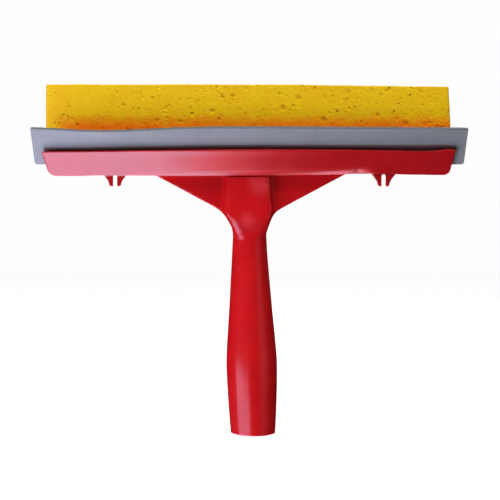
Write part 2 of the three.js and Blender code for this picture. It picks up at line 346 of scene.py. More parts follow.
def smoothstep(start, end, value):
    """From 0 at the start to 1 at the end, easing in and out."""
    t = np.clip((value - start) / (end - start), 0, 1)
    return t * t * (3 - 2 * t)


def along(x, stations):
    """A smooth line through (place, value) stations."""
    places, values = smooth_chain(stations, 8).T
    return np.interp(x, places, values)


def clamp_axes(y, z):
    """How far up the clamp's slope, and how far back from the jaw's face."""
    dy = y - CLAMP_EDGE_Y
    dz = z - CLAMP_EDGE_Z
    return dz * CLAMP_COS - dy * CLAMP_SIN, dy * CLAMP_COS + dz * CLAMP_SIN


def ripple(x, y, z, length, seed):
    """A gentle, seeded unevenness between about -1 and 1, with waves of about this length."""
    rng = np.random.default_rng(seed)
    total = 0.0
    waves = 5
    for _ in range(waves):
        direction = rng.normal(size=3)
        direction *= 2 * math.pi / (length * rng.uniform(0.7, 1.5) * np.linalg.norm(direction))
        phase = rng.uniform(0, 2 * math.pi)
        total = total + np.sin(x * direction[0] + y * direction[1] + z * direction[2] + phase)
    return total / waves


# ---------------------------------------------------------------- sampled surfaces

CORNERS = list(itertools.product((0, 1), repeat=3))
CELL_EDGES = [
    (a, b) for a, b in itertools.combinations(CORNERS, 2) if sum(abs(p - q) for p, q in zip(a, b)) == 1
]


def net_points(values, where):
    """In each cell, the middle of the points where its edges cross the surface."""
    total = np.zeros((len(where[0]), 3))
    crossings = np.zeros(len(where[0]))
    for a, b in CELL_EDGES:
        va = values[where[0] + a[0], where[1] + a[1], where[2] + a[2]]
        vb = values[where[0] + b[0], where[1] + b[1], where[2] + b[2]]
        crossed = (va < 0) != (vb < 0)
        share = np.where(crossed, va / np.where(crossed, va - vb, 1), 0)
        point = np.array(a) + share[:, None] * (np.array(b) - np.array(a))
        total += np.where(crossed[:, None], point, 0)
        crossings += crossed
    return total / crossings[:, None]


def net_faces(inside, number):
    """One four-sided face round each grid edge that the surface crosses, facing outwards."""
    faces = []
    for axis in range(3):
        u = np.eye(3, dtype=int)[(axis + 1) % 3]
        v = np.eye(3, dtype=int)[(axis + 2) % 3]
        near = np.moveaxis(inside, axis, 0)[:-1]
        far = np.moveaxis(inside, axis, 0)[1:]
        start = np.argwhere(np.moveaxis(near != far, 0, axis))
        leaving = np.moveaxis(near, 0, axis)[tuple(start.T)]
        ring = [start - u - v, start - v, start, start - u]
        quads = np.stack([number[tuple(c.T)] for c in ring], 1)
        quads[~leaving] = quads[~leaving][:, ::-1]
        faces.append(quads)
    return np.concatenate(faces)


def slopes(points, distance, reach=0.04):
    """The direction in which the distance grows, at each point."""
    out = np.zeros_like(points)
    for axis in range(3):
        ahead = points.copy()
        behind = points.copy()
        ahead[:, axis] += reach
        behind[:, axis] -= reach
        out[:, axis] = (distance(*ahead.T) - distance(*behind.T)) / (2 * reach)
    return out


def settled(points, distance, step):
    """Points moved onto the surface where the distance is zero."""
    limit = 0.5 * min(step)
    for _ in range(2):
        slope = slopes(points, distance)
        steep = np.maximum((slope**2).sum(1), 0.1)
        move = slope * (distance(*points.T) / steep)[:, None]
        size = np.linalg.norm(move, axis=1, keepdims=True)
        points = points - move * np.minimum(1, limit / np.maximum(size, 1e-9))
    return points


# Grid steps from a solid's box out to the first sample. It isn't a whole number, so that flat
# faces don't fall on the grid.
GRID_MARGIN = 2.37


def sample_surface(distance, low, high, step):
    """Points, faces and normals of a solid's surface, from a grid of the given step."""
    step = np.array(step)
    start = np.array(low) - GRID_MARGIN * step
    counts = np.ceil((np.array(high) - start) / step).astype(int) + 3
    axes = [start[i] + step[i] * np.arange(counts[i]) for i in range(3)]
    values = distance(axes[0][:, None, None], axes[1][None, :, None], axes[2][None, None, :])
    inside = values < 0
    cells = tuple(n - 1 for n in values.shape)
    full = np.zeros(cells, np.int8)
    for i, j, k in CORNERS:
        full += inside[i : i + cells[0], j : j + cells[1], k : k + cells[2]]
    crossed = (full > 0) & (full < 8)
    where = np.nonzero(crossed)
    number = np.full(cells, -1)
    number[crossed] = np.arange(len(where[0]))
    points = start + (np.stack(where, 1) + net_points(values, where)) * step
    points = settled(points, distance, step)
    normals = slopes(points, distance)
    normals /= np.linalg.norm(normals, axis=1, keepdims=True)
    return points, net_faces(inside, number), normals


def moulded(name, distance, low, high, step):
    """A new object with the surface of a solid, shaded by the solid's own normals."""
    points, faces, normals = sample_surface(distance, low, high, step)
    mesh = bpy.data.meshes.new(name)
    mesh.from_pydata((points * MM).tolist(), [], faces.tolist())
    mesh.shade_smooth()
    mesh.normals_split_custom_set_from_vertices(normals.tolist())
    piece = bpy.data.objects.new(name, mesh)
    bpy.context.scene.collection.objects.link(piece)
    return piece, points


def store(piece, name, values):
    """Keep one number at each of a piece's points, for its material."""
    attribute = piece.data.attributes.new(name, "FLOAT", "POINT")
    attribute.data.foreach_set("value", values.astype(np.float32))


# ---------------------------------------------------------------- handle and head

LEFT_LINE = smooth_chain(GRIP_STATIONS + NECK_LEFT, 16)
RIGHT_LINE = smooth_chain(GRIP_STATIONS + NECK_RIGHT, 16)


def axis_shift(z):
    """The handle stands a little off square, so its axis is off centre lower down."""
    return LEAN * np.maximum(0, GRIP_TOP - z)


def grip_and_neck(x, y, z):
    """A turned grip that becomes a rounded box under the head."""
    across = x - axis_shift(z)
    left = np.interp(z, *LEFT_LINE.T)
    right = np.interp(z, *RIGHT_LINE.T)
    half_width = np.where(across < 0, left, right)
    part = smoothstep(GRIP_TOP, NECK_FULL_FROM, z)
    radius = (left + right) / 2
    half_depth = radius + part * (NECK_HALF_DEPTH - radius)
    squareness = np.where(across < 0, LEFT_SQUARENESS, RIGHT_SQUARENESS)
    power = 2 + smoothstep(SQUARE_FROM, SQUARE_BY, z) * (squareness - 2)
    reach = ((np.abs(across) / half_width) ** power + (np.abs(y) / half_depth) ** power) ** (1 / power)
    side = (reach - 1) * np.minimum(half_width, half_depth)
    return round_max(side, slab(z, 0, NECK_TOP), RIM_ROUND)


def pole_socket(x, y, z):
    """The tapered hole for an extension pole, open at the rim and domed at its end."""
    radius = SOCKET_MOUTH_R + (SOCKET_END_R - SOCKET_MOUTH_R) * np.clip(z / SOCKET_DEPTH, 0, 1)
    side = np.hypot(x - axis_shift(z), y) - radius
    return round_max(side, z - SOCKET_DEPTH, SOCKET_DOME_ROUND)


def web_outline(x, z):
    """Distance to the webs' lower edge, which dips into the grip at its middle."""
    left = [tuple(p) for p in smooth_chain(LEFT_WEB_EDGE[1:], 4)]
    right = [tuple(p) for p in smooth_chain(RIGHT_WEB_EDGE[:-1], 4)]
    outer_left = (LEFT_WEB_EDGE[0][0] - WEB_OVERRUN, SHELF_TOP)
    outer_right = (RIGHT_WEB_EDGE[-1][0] + WEB_OVERRUN, SHELF_TOP)
    points = [outer_left, LEFT_WEB_EDGE[0], *left, *right, RIGHT_WEB_EDGE[-1], outer_right]
    edge = np.interp(x, *np.array(points).T)
    return edge_distance(x, z, points) * np.where(z > edge, -1, 1)


def webs(x, y, z):
    """The two flat webs between the neck and the shelf."""
    outline = np.maximum(web_outline(x, z), z - NECK_TOP)
    return round_max(outline, slab(y, WEB_FRONT_Y, WEB_FRONT_Y + WEB_THICKNESS), WEB_ROUND)


def rail(x, y, z):
    """The shelf with its leaning front wall and its rear lip."""
    up, back = clamp_axes(y, z)
    shelf = round_max(slab(z, SHELF_Z, SHELF_TOP), y - REAR_Y, SHELF_ROUND)
    shelf = np.maximum(shelf, RAIL_FACE - back)
    wall_low = (RAIL_FACE, RAIL_WALL_FOOT)
    wall_high = (RAIL_FACE + RAIL_WALL, RAIL_WALL_HEIGHT)
    wall = rounded_rectangle(back, up, wall_low, wall_high, RAIL_WALL_ROUND)
    wall = np.maximum(wall, SHELF_Z - z)
    lip_low = (REAR_Y - LIP_THICKNESS, SHELF_Z)
    lip = rounded_rectangle(y, z, lip_low, (REAR_Y, FRAME_HIGH[2]), SHELF_ROUND)
    profile = round_min(round_min(shelf, wall, SHELF_FILLET), lip, SHELF_FILLET)
    return round_max(profile, np.abs(x) - RAIL_HALF_LENGTH, RAIL_END_ROUND)


def gussets(x, y, z):
    """Two ribs that brace the shelf's overhang against the back of the neck."""
    low = np.array([NECK_HALF_DEPTH - 2, GUSSET_LOW_Z])
    high = np.array([REAR_Y - LIP_THICKNESS, SHELF_Z + 1])
    run = (high - low) / np.linalg.norm(high - low)
    under = (y - low[0]) * run[1] - (z - low[1]) * run[0]
    outline = np.maximum(np.maximum(under, GUSSET_FRONT_Y - y), z - SHELF_Z - 1)
    return round_max(outline, np.abs(np.abs(x) - GUSSET_X) - GUSSET_THICKNESS / 2, GUSSET_ROUND)


def nearest(x, places):
    """Distance along x from the nearest of some places on both sides."""
    return np.min([np.abs(np.abs(x) - p) for p in places], axis=0)


def stud_holes(x, y, z):
    """Holes in the leaning wall for the jaw's studs."""
    up, back = clamp_axes(y, z)
    bore = np.hypot(nearest(x, STUD_X), up - STUD_UP) - STUD_R - GAP
    return np.maximum(bore, slab(back, RAIL_FACE - 1, RAIL_FACE + 2 * RAIL_WALL))


def peg_slots(x, y, z):
    """Slots in the shelf for the tray's pegs."""
    half = (PEG_HALF_WIDTH + GAP, PEG_HALF_DEPTH + GAP)
    low = (-half[0], -half[1])
    hole = rounded_rectangle(nearest(x, [PEG_X]), y - PEG_Y, low, half, PEG_SLOT_ROUND)
    return np.maximum(hole, slab(z, SHELF_Z - 1, SHELF_TOP + 1))


def frame_distance(x, y, z):
    """The whole red moulding: grip, neck, webs, gussets and shelf, with its holes."""
    up, back = clamp_axes(y, z)
    jaw_room = np.maximum(back - RAIL_FACE, -JAW_ROOM_BELOW - up)
    body = round_min(grip_and_neck(x, y, z), webs(x, y, z), NECK_FILLET)
    body = round_max(body, -jaw_room, JAW_ROOM_ROUND)
    body = round_min(body, gussets(x, y, z), GUSSET_FILLET)
    body = round_min(body, rail(x, y, z), SHELF_TO_NECK_FILLET)
    body = round_max(body, -pole_socket(x, y, z), SOCKET_RIM_ROUND)
    body = np.maximum(body, -stud_holes(x, y, z))
    body = round_max(body, -peg_slots(x, y, z), PEG_SLOT_EDGE_ROUND)
    return body + 0.05 * ripple(x, y, z, length=22, seed=4)


def make_frame():
    piece, _ = moulded("frame", frame_distance, FRAME_LOW, FRAME_HIGH, FRAME_STEP)
    return piece


# ---------------------------------------------------------------- jaw

# Along the jaw, as (across, up the slope): its lower edge, the line below which its face bends
# back, and how far its upper edge strays from its height
JAW_LOWER_EDGE = [
    (-119, -0.9),
    (-100, -1.0),
    (-87, -0.5),
    (-60, -0.8),
    (0, -1.3),
    (30, -1.1),
    (60, -0.6),
    (72, 0.6),
    (96, 0.0),
    (119, -0.3),
]
JAW_BEVEL = [
    (-119, -2.0),
    (-68, -1.2),
    (-48, -0.8),
    (-10, 1.0),
    (15, 1.8),
    (56, 4.1),
    (66, 4.9),
    (80, -0.8),
    (119, -2.0),
]
JAW_BEVEL_ROUND = 1.0
JAW_BEVEL_TILT = math.radians(21)
JAW_UPPER_EDGE = [
    (-119, -0.5),
    (-100, -0.3),
    (-50, 0.5),
    (0, 0.95),
    (60, 0.65),
    (98, -0.2),
    (108, 0.2),
    (114, 1.1),
    (119, 0.7),
]


def jaw_outline(x, up):
    """Distance to the jaw's long outline, whose edges wander a little."""
    lower = along(x, JAW_LOWER_EDGE) - up
    upper = up - JAW_HEIGHT - along(x, JAW_UPPER_EDGE)
    left = JAW_LEFT_TOP + JAW_LEFT_SLANT * (JAW_HEIGHT - up) - x
    right = x - JAW_RIGHT_TOP + JAW_RIGHT_SLANT * (JAW_HEIGHT - up)
    outline = round_max(round_max(lower, left, JAW_LEFT_CORNER), right, JAW_RIGHT_CORNER)
    return round_max(outline, upper, JAW_TOP_ROUND)


def jaw_face(x, y, z):
    """The jaw's plate, bent back a little along its foot, and the rib behind the foot."""
    up, back = clamp_axes(y, z)
    into_lip = np.clip((up - JAW_HEIGHT + JAW_LIP_LEAN_OVER) / JAW_LIP_LEAN_OVER, 0, 1)
    face = -JAW_LIP_LEAN * into_lip**2 - back
    below = along(x, JAW_BEVEL) - up
    bevel = below * math.sin(JAW_BEVEL_TILT) - back * math.cos(JAW_BEVEL_TILT)
    face = round_max(face, bevel, JAW_BEVEL_ROUND)
    front = round_max(jaw_outline(x, up), face, JAW_EDGE_ROUND)
    thinned = JAW_LIP_THINNING * smoothstep(JAW_HEIGHT - JAW_LIP_THIN_OVER, JAW_HEIGHT, up)
    rib = round_max(back - RAIL_FACE + GAP, up - JAW_RIB_HEIGHT, JAW_RIB_ROUND)
    rear = round_min(back - JAW_THICKNESS + thinned, rib, JAW_RIB_ROUND)
    return round_max(front, rear, JAW_BACK_ROUND)


def jaw_bars(x, y, z):
    """The ridge along the jaw's inside, and its studs."""
    up, back = clamp_axes(y, z)
    ridge_low = (JAW_RIDGE_UP, JAW_RIDGE_FROM)
    ridge_high = (JAW_RIDGE_UP + JAW_RIDGE_HEIGHT, BLADE_BACK - GAP)
    ridge = rounded_rectangle(up, back, ridge_low, ridge_high, JAW_RIDGE_ROUND)
    ridge_end = np.abs(x) - (JAW_HALF_LENGTH - JAW_RIDGE_SHORTER)
    ridge = round_max(ridge, ridge_end, JAW_RIDGE_END_ROUND)
    shank = np.hypot(nearest(x, STUD_X), up - STUD_UP) - STUD_R
    studs = round_max(shank, slab(back, JAW_THICKNESS, RAIL_FACE + RAIL_WALL), STUD_TIP_ROUND)
    return np.minimum(ridge, studs)


def forks(x, y, z):
    """Two short two-legged forks under the jaw, flared where they join it."""
    u = np.abs(np.abs(x) - FORK_X)
    half, height = np.array(FORK_SIDE).T
    side = (u - np.interp(z, height, half)) * FORK_SIDE_SLOPE
    legs = round_max(side, FORK_TIP_Z - z, FORK_TIP_ROUND)
    slot = np.hypot(u, np.maximum(z - FORK_SLOT_TOP_Z, 0)) - FORK_SLOT_HALF
    legs = round_max(legs, -slot, FORK_SLOT_ROUND)
    legs = np.maximum(legs, z - FORK_TOP_Z)
    return round_max(legs, slab(y, FORK_FRONT_Y, FORK_FRONT_Y + JAW_THICKNESS), FORK_FACE_ROUND)


def jaw_distance(x, y, z):
    """The whole jaw: plate, ridge, studs and forks."""
    body = round_min(jaw_face(x, y, z), jaw_bars(x, y, z), JAW_BAR_FILLET)
    body = round_min(body, forks(x, y, z), FORK_FILLET)
    return body + 0.03 * ripple(x, y, z, length=30, seed=7)


def make_jaw():
    piece, _ = moulded("jaw", jaw_distance, JAW_LOW, JAW_HIGH, JAW_STEP)
    return piece


# ---------------------------------------------------------------- blade

# Along the blade: how much its free edge sags, and how far up the slope its painted shade reaches
BLADE_SAG = [
    (-126, 0.3),
    (-112, 1.2),
    (-92, 2.5),
    (-76, 2.5),
    (-56, 1.5),
    (-42, 0.7),
    (-28, 0.2),
    (0, 0.0),
    (50, 0.2),
    (90, 0.4),
    (126, 0.9),
]
CLAMP_SHADE_TOP = [(-126, 16.4), (-90, 16.7), (-20, 18.2), (90, 18.3), (108, 18.6), (118, 18.0)]

# The painted shade's ends, just past the jaw's ends where the jaw's shadow falls, and how wide its soft
# edges are
CLAMP_SHADE_LEFT = JAW_LOW[0] - 1.2
CLAMP_SHADE_LEFT_FADE = 1.0
CLAMP_SHADE_RIGHT = JAW_HIGH[0] + 1.9
CLAMP_SHADE_RIGHT_FADE = 0.8

# The painted shade's strength at its upper edge, what it gains deeper in, the haze above it, and what
# is left of it far down
CLAMP_SHADE_EDGE = 0.7
CLAMP_SHADE_GAIN = 0.25
CLAMP_SHADE_HAZE = 0.1
CLAMP_SHADE_LEFT_OVER = 0.35

# Painted shade along the blade's cut top edge: from where it starts, and from where it is full
CUT_EDGE_START = 0.7
CUT_EDGE_FULL = 0.3


def blade_distance(x, y, z):
    """A strip of rubber, whose free edge has taken a slight wave."""
    up, back = clamp_axes(y, z)
    free = smoothstep(JAW_HEIGHT + 1, BLADE_TOP_UP, up)
    sag = along(x, BLADE_SAG) * free
    back = back + SAG_FORWARD * sag
    up = up + SAG_DOWN * sag
    outline = round_max(BLADE_LOW_UP - up, np.abs(x) - BLADE_HALF_LENGTH, BLADE_CORNER)
    outline = round_max(outline, up - BLADE_TOP_UP, BLADE_TOP_CORNER)
    faces = slab(back, BLADE_BACK, BLADE_BACK + BLADE_THICKNESS)
    return round_max(outline, faces, BLADE_EDGE_ROUND)


def clamp_shade_strength(x, up):
    """How much painted shade, tinted red, the rubber gets: most where it goes into the clamp, fading up
    and down from it.
    """
    top = along(x, CLAMP_SHADE_TOP)
    edge = smoothstep(top + 0.5, top - 0.5, up)
    deeper = smoothstep(top - 0.5, top - 2.5, up)
    haze = smoothstep(top + 6, top, up)
    strength = np.maximum(CLAMP_SHADE_EDGE * edge + CLAMP_SHADE_GAIN * deeper, CLAMP_SHADE_HAZE * haze)
    kept = smoothstep(top - 6, top - 2.5, up)
    strength *= CLAMP_SHADE_LEFT_OVER + (1 - CLAMP_SHADE_LEFT_OVER) * kept
    strength *= smoothstep(CLAMP_SHADE_LEFT, CLAMP_SHADE_LEFT + CLAMP_SHADE_LEFT_FADE, x)
    return strength * smoothstep(CLAMP_SHADE_RIGHT, CLAMP_SHADE_RIGHT - CLAMP_SHADE_RIGHT_FADE, x)


def store_blade_shades(piece, points):
    """Marks painted shade where the front goes into the clamp, and painted shade along the cut edge at
    the top.
    """
    x = points[:, 0]
    up, back = clamp_axes(points[:, 1], points[:, 2])
    on_front = back < BLADE_BACK + BLADE_THICKNESS / 2
    store(piece, "clamp_shade", clamp_shade_strength(x, up) * on_front)
    free_edge = BLADE_TOP_UP - SAG_DOWN * along(x, BLADE_SAG)
    store(piece, "cut", smoothstep(free_edge - CUT_EDGE_START, free_edge - CUT_EDGE_FULL, up))


def make_blade():
    low = BLADE_LOW_CORNER - SAG_ROOM
    piece, points = moulded("blade", blade_distance, low, BLADE_HIGH_CORNER, BLADE_STEP)
    store_blade_shades(piece, points)
    return piece


# ---------------------------------------------------------------- tray


def tray_distance(x, y, z):
    """The channel that the sponge is bonded into, with two pegs for the shelf's slots."""
    low = (TRAY_LOW[1], TRAY_BASE_Z)
    high = (TRAY_HIGH[1], TRAY_HIGH[2])
    block = rounded_rectangle(y, z, low, high, TRAY_ROUND)
    room_low = (low[0] + TRAY_WALL, low[1] + TRAY_WALL)
    room_high = (high[0] - TRAY_WALL, high[1] + TRAY_ROOM_OVERRUN)
    room = rounded_rectangle(y, z, room_low, room_high, TRAY_ROOM_ROUND)
    channel = round_max(block, -room, TRAY_RIM_ROUND)
    channel = round_max(channel, slab(x, TRAY_LOW[0], TRAY_HIGH[0]), TRAY_RIM_ROUND)
    half = (PEG_HALF_WIDTH, PEG_HALF_DEPTH)
    peg_low = (-half[0], -half[1])
    pegs = rounded_rectangle(nearest(x, [PEG_X]), y - PEG_Y, peg_low, half, PEG_ROUND)
    pegs = round_max(pegs, slab(z, TRAY_LOW[2], TRAY_BASE_Z + 1), PEG_TIP_ROUND)
    return np.minimum(channel, pegs)


def make_tray():
    piece, _ = moulded("tray", tray_distance, TRAY_LOW, TRAY_HIGH, TRAY_STEP)
    return piece


# ---------------------------------------------------------------- sponge


# Distance given where no pit is near
FAR = 9.0


def scatter(cell, chance, sizes, seed):
    """Pit centres and radii, one or none in each cell of the sponge's space."""
    rng = np.random.default_rng(seed)
    first = np.floor((SPONGE_LOW - 2 * cell) / cell).astype(int)
    counts = np.ceil((SPONGE_HIGH + 2 * cell) / cell).astype(int) - first + 1
    cells = np.stack(np.meshgrid(*[np.arange(n) for n in counts], indexing="ij"), -1)
    centres = (cells + first + rng.uniform(size=cells.shape)) * cell
    radii = sizes[0] + (sizes[1] - sizes[0]) * rng.uniform(size=counts) ** 2
    radii = np.where(rng.uniform(size=counts) < chance, radii, -FAR)
    return cell, first, centres, radii


def pits(x, y, z, scattered):
    """Distance to the nearest of the scattered round pits."""
    cell, first, centres, radii = scattered
    last = np.array(radii.shape) - 1
    home = [
        np.clip(np.floor(v / cell).astype(int) - f, 1, n - 1) for v, f, n in zip((x, y, z), first, last)
    ]
    best = np.full(np.broadcast(x, y, z).shape, FAR)
    for offset in itertools.product((-1, 0, 1), repeat=3):
        where = tuple(h + o for h, o in zip(home, offset))
        centre = centres[where]
        away = (x - centre[..., 0]) ** 2 + (y - centre[..., 1]) ** 2 + (z - centre[..., 2]) ** 2
        best = np.minimum(best, np.sqrt(away) - radii[where])
    return best


# Round pits that open on the surface, cut down to a floor: how deep the floor is, and how soft
# the edges at the pit's mouth and round its floor are
COARSE_PITS = scatter(cell=5.5, chance=0.6, sizes=(0.7, 1.7), seed=21)
FINE_PITS = scatter(cell=2.8, chance=0.6, sizes=(0.4, 0.85), seed=22)
COARSE_DEPTH = 0.5
COARSE_MOUTH_ROUND = 0.5
COARSE_FLOOR_ROUND = 0.4
FINE_DEPTH = 0.38
FINE_MOUTH_ROUND = 0.25
FINE_FLOOR_ROUND = 0.1


def sponge_block(x, y, z):
    """The sponge before its pores: a cut block, a little lower at its right end."""
    top = SPONGE_HIGH[2] - SPONGE_FALL * smoothstep(SPONGE_FALL_FROM, SPONGE_FALL_BY, x)
    right = SPONGE_HIGH[0] - SPONGE_LEAN * smoothstep(SPONGE_LEAN_FROM_Z, SPONGE_HIGH[2], z)
    ends = round_max(SPONGE_LEFT - x, x - right, SPONGE_END_ROUND)
    sides = slab(y, SPONGE_LOW[1], SPONGE_HIGH[1])
    block = round_max(ends, sides, SPONGE_SIDE_ROUND)
    block = round_max(block, slab(z, SPONGE_LOW[2], top), SPONGE_TOP_ROUND)
    long_waves = 0.18 * ripple(x, y, z, length=26, seed=11)
    short_waves = 0.1 * ripple(x, y, z, length=7, seed=12)
    return block + long_waves + short_waves


def sponge_distance(x, y, z):
    """The sponge with its fine and coarse pits."""
    block = sponge_block(x, y, z)
    body = round_max(block, -pits(x, y, z, FINE_PITS), FINE_MOUTH_ROUND)
    body = round_min(body, block + FINE_DEPTH, FINE_FLOOR_ROUND)
    body = round_max(body, -pits(x, y, z, COARSE_PITS), COARSE_MOUTH_ROUND)
    return round_min(body, block + COARSE_DEPTH, COARSE_FLOOR_ROUND)


def make_sponge():
    piece, points = moulded("foam_sponge", sponge_distance, SPONGE_LOW, SPONGE_HIGH, SPONGE_STEP)
    # How deep each point lies in a pit, for painted shade in the pits
    store(piece, "pit", np.clip(-sponge_block(*points.T) / COARSE_DEPTH, 0, 1))
    return piece


# ---------------------------------------------------------------- materials

# Places and reaches, in metres, of pale painted reflections on the neck's face
NECK_REFLECTION_PATCHES = [((0.0065, -0.0113, 0.1475), 0.0090), ((-0.001, -0.011, 0.1265), 0.0060)]

# Painted shade tinted orange by red bounce light, along the sponge's lower part, in metres: full below
# one height and gone above another, weaker at the sponge's foot, towards its rear, and at its left end
BOUNCE_SHADE_HEIGHTS = (0.1822, 0.1898)
BOUNCE_SHADE_WAVER = 0.0024
BOUNCE_SHADE_FOOT = (0.1720, 0.1815)
BOUNCE_SHADE_REAR = (-0.005, 0.005)
BOUNCE_SHADE_LEFT_END = (-0.118, -0.106)


def node(tree, kind, **inputs):
    """A new shader node with some inputs set. Underscores in their names stand for spaces."""
    made = tree.nodes.new(kind)
    for name, value in inputs.items():
        made.inputs[name.replace("_", " ")].default_value = value
    return made


def new_material(name):
    """An empty node material: its tree, its Principled shader, and the object's own places."""
    material = bpy.data.materials.new(name)
    material.use_nodes = True
    tree = material.node_tree
    shader = tree.nodes["Principled BSDF"]
    places = tree.nodes.new("ShaderNodeTexCoord").outputs["Object"]
    return material, tree, shader, places


def noise(tree, places, scale, detail=2.0, roughness=0.5):
    """Cloudy noise from 0 to 1, finer at a larger scale."""
    made = node(tree, "ShaderNodeTexNoise", Scale=scale, Detail=detail, Roughness=roughness)
    tree.links.new(places, made.inputs["Vector"])
    return made.outputs["Fac"]


def spread(tree, value, low, high, to_low=0.0, to_high=1.0):
    """A value rescaled from one range to another, and kept within it."""
    made = node(
        tree,
        "ShaderNodeMapRange",
        From_Min=low,
        From_Max=high,
        To_Min=to_low,
        To_Max=to_high,
    )
    tree.links.new(value, made.inputs["Value"])
    return made.outputs["Result"]


def mixed(tree, share, first, second):
    """Two colours mixed. Each is a socket or a linear (red, green, blue)."""
    made = tree.nodes.new("ShaderNodeMix")
    made.data_type = "RGBA"
    tree.links.new(share, made.inputs[0])
    for socket, colour in ((made.inputs[6], first), (made.inputs[7], second)):
        if isinstance(colour, tuple):
            socket.default_value = (*colour, 1.0)
        else:
            tree.links.new(colour, socket)
    return made.outputs[2]


def stored(tree, name):
    """A number kept at each of the piece's points."""
    made = tree.nodes.new("ShaderNodeAttribute")
    made.attribute_name = name
    return made.outputs["Fac"]


def bumped(tree, shader, height, strength, depth_mm):
    """Small unevenness for a shader, in its shading only."""
    made = node(tree, "ShaderNodeBump", Strength=strength, Distance=depth_mm * MM)
    tree.links.new(height, made.inputs["Height"])
    tree.links.new(made.outputs["Normal"], shader.inputs["Normal"])


def stretched(tree, places, scale):
    """Places scaled along each axis, so that noise made from them is stretched."""
    made = tree.nodes.new("ShaderNodeMapping")
    made.inputs["Scale"].default_value = scale
    tree.links.new(places, made.inputs["Vector"])
    return made.outputs["Vector"]


def math_node(tree, operation, first, second):
    """Arithmetic on a socket and either another socket or a number."""
    made = tree.nodes.new("ShaderNodeMath")
    made.operation = operation
    tree.links.new(first, made.inputs[0])
    if isinstance(second, float):
        made.inputs[1].default_value = second
    else:
        tree.links.new(second, made.inputs[1])
    return made.outputs[0]


def reflection_patch(tree, places, centre, reach):
    """A soft, speckled painted reflection round one place, fading out at its reach."""
    away = tree.nodes.new("ShaderNodeVectorMath")
    away.operation = "DISTANCE"
    away.inputs[1].default_value = centre
    tree.links.new(places, away.inputs[0])
    near = spread(tree, away.outputs["Value"], 0.3 * reach, reach, 1.0, 0.0)
    grain = noise(tree, places, scale=420, detail=4, roughness=0.7)
    speckle = spread(tree, grain, 0.35, 0.65, 0.35, 1.0)
    return math_node(tree, "MULTIPLY", near, speckle)


def red_plastic(name, deep, bright, ior):
    """Glossy red moulded plastic, faintly mottled, with paler worn edges and pale painted reflections
    on the neck.
    """
    material, tree, shader, places = new_material(name)
    worn = (0.66, 0.035, 0.035)
    reflection_pink = (0.68, 0.042, 0.048)
    mottle = spread(tree, noise(tree, places, scale=70, detail=3), 0.35, 0.65)
    colour = mixed(tree, mottle, deep, bright)
    geometry = tree.nodes.new("ShaderNodeNewGeometry")
    edges = spread(tree, geometry.outputs["Pointiness"], 0.54, 0.62, 0.0, 0.35)
    colour = mixed(tree, edges, colour, worn)
    # Pale painted reflections on the neck's face
    for centre, reach in NECK_REFLECTION_PATCHES:
        colour = mixed(tree, reflection_patch(tree, places, centre, reach), colour, reflection_pink)
    tree.links.new(colour, shader.inputs["Base Color"])
    gloss = spread(tree, noise(tree, places, scale=120, detail=4), 0.3, 0.7, 0.19, 0.26)
    tree.links.new(gloss, shader.inputs["Roughness"])
    bumped(tree, shader, noise(tree, places, scale=1300, detail=2), strength=0.12, depth_mm=0.05)
    shader.inputs["IOR"].default_value = ior
    return material


def grey_rubber():
    """Matt grey rubber with faint lines along its length and dusty specks, painted shade along its cut
    top edge, and painted shade tinted red where it goes into the clamp.
    """
    material, tree, shader, places = new_material("grey_rubber")
    dark = (0.212, 0.260, 0.250)
    pale = (0.250, 0.304, 0.294)
    dust = (0.36, 0.41, 0.39)
    cut = (0.16, 0.19, 0.18)
    painted_clamp_shade = (0.075, 0.010, 0.012)
    cloud = spread(tree, noise(tree, places, scale=45, detail=4), 0.3, 0.7)
    colour = mixed(tree, cloud, dark, pale)
    lines = noise(tree, stretched(tree, places, (12, 900, 900)), scale=1, detail=2)
    colour = mixed(tree, spread(tree, lines, 0.55, 0.8, 0.0, 0.35), colour, dust)
    specks = spread(tree, noise(tree, places, scale=900, detail=1), 0.70, 0.76, 0.0, 0.5)
    colour = mixed(tree, specks, colour, dust)
    # Painted shade along the blade's cut top edge
    colour = mixed(tree, stored(tree, "cut"), colour, cut)
    # Painted shade, tinted red as by light bounced off the jaw, where the blade goes into the clamp and
    # beside the jaw's ends
    colour = mixed(tree, stored(tree, "clamp_shade"), colour, painted_clamp_shade)
    tree.links.new(colour, shader.inputs["Base Color"])
    gloss = spread(tree, lines, 0.3, 0.7, 0.48, 0.60)
    tree.links.new(gloss, shader.inputs["Roughness"])
    bumped(tree, shader, lines, strength=0.25, depth_mm=0.05)
    return material


def bounce_shade_band(tree, places):
    """How much painted shade, tinted orange by red bounce light, the foam gets: a wavering band along
    its foot.
    """
    split = tree.nodes.new("ShaderNodeSeparateXYZ")
    tree.links.new(places, split.inputs["Vector"])
    rough = noise(tree, places, scale=170, detail=5, roughness=0.75)
    waver = spread(tree, rough, 0.3, 0.7, -BOUNCE_SHADE_WAVER, BOUNCE_SHADE_WAVER)
    height = math_node(tree, "ADD", split.outputs["Z"], waver)
    tinted = spread(tree, height, *BOUNCE_SHADE_HEIGHTS, 0.95, 0.0)
    foot = spread(tree, split.outputs["Z"], *BOUNCE_SHADE_FOOT, 0.75, 1.0)
    rear = spread(tree, split.outputs["Y"], *BOUNCE_SHADE_REAR, 1.0, 0.35)
    across = math_node(tree, "ADD", split.outputs["X"], math_node(tree, "MULTIPLY", waver, 2.0))
    left_end = spread(tree, across, *BOUNCE_SHADE_LEFT_END, 0.1, 1.0)
    for share in (foot, rear, left_end):
        tinted = math_node(tree, "MULTIPLY", tinted, share)
    return tinted


